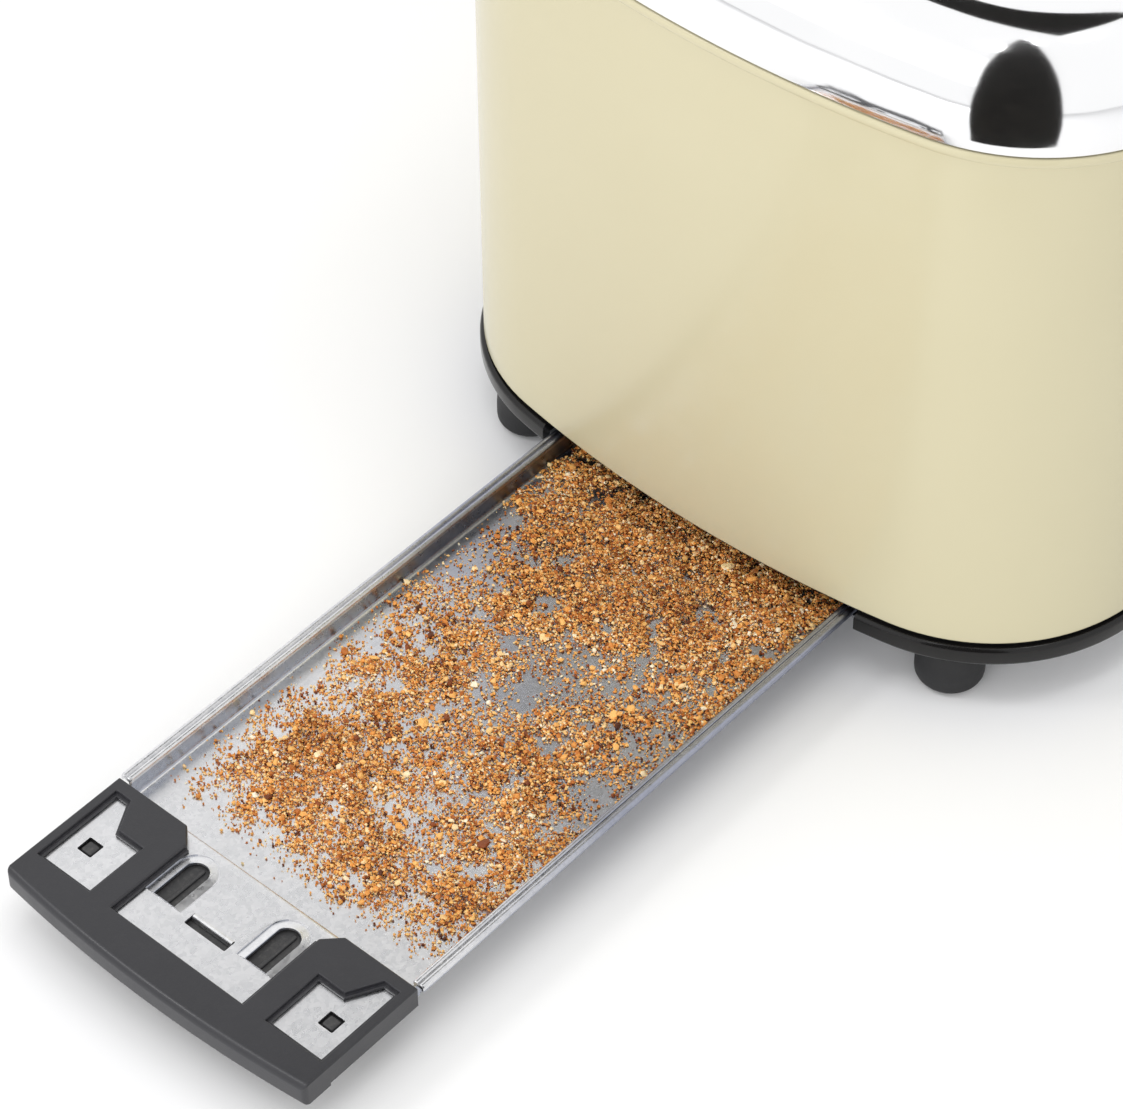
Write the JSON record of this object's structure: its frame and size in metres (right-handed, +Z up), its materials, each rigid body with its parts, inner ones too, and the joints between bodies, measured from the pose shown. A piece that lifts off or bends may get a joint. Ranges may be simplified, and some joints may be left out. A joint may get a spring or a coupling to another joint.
{
  "type": "pop up toaster",
  "caption": "Pop up toaster with a cream shell, chromed domed top, black base on feet, sliding crumb tray with a moulded handle, spring carriage, self-centring bread guards and dial.",
  "frame": {"origin": "on the surface the toaster stands on, midway between its four feet", "axes": "+X towards the lever and control end, -X towards the end the crumb tray comes out of, +Z up"},
  "size_m": [0.4913, 0.1924, 0.1904],
  "materials": {
    "cream_enamel": "gloss enamel",
    "chrome": "polished",
    "gloss_black": "gloss",
    "foot_black": "satin",
    "tray_steel": "bright spangled",
    "handle_plastic": "satin",
    "galvanised_steel": "galvanised",
    "guard_wire": "bright wire",
    "mica": "pearly",
    "heater_ribbon": "oxidised",
    "bush_brass": "satin",
    "coil_copper": "enamelled wire",
    "board_green": "lacquered",
    "component_black": "moulded",
    "screw_steel": "zinc plated"
  },
  "bodies": {
    "housing": {"shell": "cream_enamel", "chrome_top": "chrome", "lever_bezel": "chrome", "slot_frame": "gloss_black", "base_ring": "gloss_black", "control_panel": "gloss_black", "foot_1": "foot_black", "foot_2": "foot_black", "foot_3": "foot_black", "foot_4": "foot_black", "bottom_plate": "galvanised_steel", "front_plate": "galvanised_steel", "rear_plate": "galvanised_steel", "top_deck": "galvanised_steel", "heat_shield_left": "galvanised_steel", "heat_shield_right": "galvanised_steel", "magnet_core": "galvanised_steel", "guide_rod": "guard_wire", "carriage_spring": "guard_wire", "mica_outer_left": "mica", "mica_outer_right": "mica", "mica_inner_left": "mica", "mica_inner_right": "mica", "winding_outer_left": "heater_ribbon", "winding_outer_right": "heater_ribbon", "winding_inner_left": "heater_ribbon", "winding_inner_right": "heater_ribbon", "magnet_coil": "coil_copper", "circuit_board": "board_green", "board_parts": "component_black", "tact_switches": "component_black", "switch_block": "component_black", "potentiometer": "component_black", "terminal_block": "component_black", "cord_bush": "component_black", "mains_wires": "component_black", "base_screws": "screw_steel", "chassis_screws": "screw_steel", "deck_screws": "screw_steel", "board_screws": "screw_steel"},
    "crumb_tray": {"tray_pan": "tray_steel", "tray_handle": "handle_plastic"},
    "carriage": {"carriage_bracket": "galvanised_steel", "carriage_bush": "bush_brass", "lifter_left": "galvanised_steel", "lifter_right": "galvanised_steel", "armature": "galvanised_steel", "lever_knob": "chrome"},
    "browning_dial": {"browning_knob": "chrome", "pot_shaft": "galvanised_steel"},
    "cancel_button": {"cancel_button": "gloss_black"},
    "reheat_button": {"reheat_button": "gloss_black"},
    "defrost_button": {"defrost_button": "gloss_black"},
    "guard_outer_left": {"guard_outer_left": "guard_wire"},
    "guard_inner_left": {"guard_inner_left": "guard_wire"},
    "guard_outer_right": {"guard_outer_right": "guard_wire"},
    "guard_inner_right": {"guard_inner_right": "guard_wire"}
  },
  "joints": [
    {"name": "tray_slide", "type": "slide", "parent": "housing", "child": "crumb_tray", "axis": [-1, 0, 0], "range_m": [-0.1788, 0.07]},
    {"name": "carriage_slide", "type": "slide", "parent": "housing", "child": "carriage", "axis": [0, 0, 1], "range_m": [-0.078, 0.008], "stiffness_N_per_m": 120, "springref_m": 0.008, "deforming": ["carriage_spring"]},
    {"name": "browning_turn", "type": "hinge", "parent": "housing", "child": "browning_dial", "pos_m": [0.15, 0, 0.042], "axis": [1, 0, 0], "range_deg": [-135, 135]},
    {"name": "cancel_press", "type": "slide", "parent": "housing", "child": "cancel_button", "axis": [-1, 0, 0], "range_m": [0, 0.002], "stiffness_N_per_m": 600},
    {"name": "reheat_press", "type": "slide", "parent": "housing", "child": "reheat_button", "axis": [-1, 0, 0], "range_m": [0, 0.002], "stiffness_N_per_m": 600},
    {"name": "defrost_press", "type": "slide", "parent": "housing", "child": "defrost_button", "axis": [-1, 0, 0], "range_m": [0, 0.002], "stiffness_N_per_m": 600},
    {"name": "guard_outer_left_slide", "type": "slide", "parent": "housing", "child": "guard_outer_left", "axis": [0, -1, 0], "range_m": [-0.00085, 0.00805]},
    {"name": "guard_inner_left_slide", "type": "slide", "parent": "housing", "child": "guard_inner_left", "axis": [0, 1, 0], "range_m": [-0.00085, 0.00805]},
    {"name": "guard_outer_right_slide", "type": "slide", "parent": "housing", "child": "guard_outer_right", "axis": [0, 1, 0], "range_m": [-0.00085, 0.00805]},
    {"name": "guard_inner_right_slide", "type": "slide", "parent": "housing", "child": "guard_inner_right", "axis": [0, -1, 0], "range_m": [-0.00085, 0.00805]}
  ],
  "couplings": [
    {"joint": "guard_outer_left_slide", "follows": "carriage_slide", "ratio": -0.10256},
    {"joint": "guard_inner_left_slide", "follows": "carriage_slide", "ratio": -0.10256},
    {"joint": "guard_outer_right_slide", "follows": "carriage_slide", "ratio": -0.10256},
    {"joint": "guard_inner_right_slide", "follows": "carriage_slide", "ratio": -0.10256}
  ]
}
